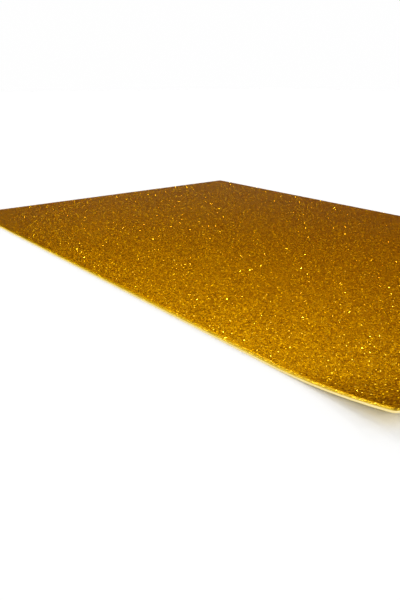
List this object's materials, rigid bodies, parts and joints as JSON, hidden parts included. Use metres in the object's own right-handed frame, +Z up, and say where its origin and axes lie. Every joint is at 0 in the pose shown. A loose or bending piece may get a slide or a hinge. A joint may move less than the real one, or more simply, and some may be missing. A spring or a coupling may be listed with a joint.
{
  "type": "craft foam sheet",
  "caption": "Flat rectangular sheet of thin soft craft foam with a gold glitter face, one corner lifting slightly; cut to shape and glued for crafts.",
  "frame": {"origin": "under the middle of the sheet's bounding box, on the plane that the sheet rests on", "axes": "+X along the long side, +Y along the short side, +Z up through the glitter face; the front right corner (+X, -Y) lifts"},
  "size_m": [0.4572, 0.3048, 0.0082],
  "materials": {
    "foam": "soft matte EVA foam",
    "glitter": "gold glitter film"
  },
  "bodies": {
    "root": {"foam_sheet": "foam", "glitter_film": "glitter"}
  },
  "joints": []
}
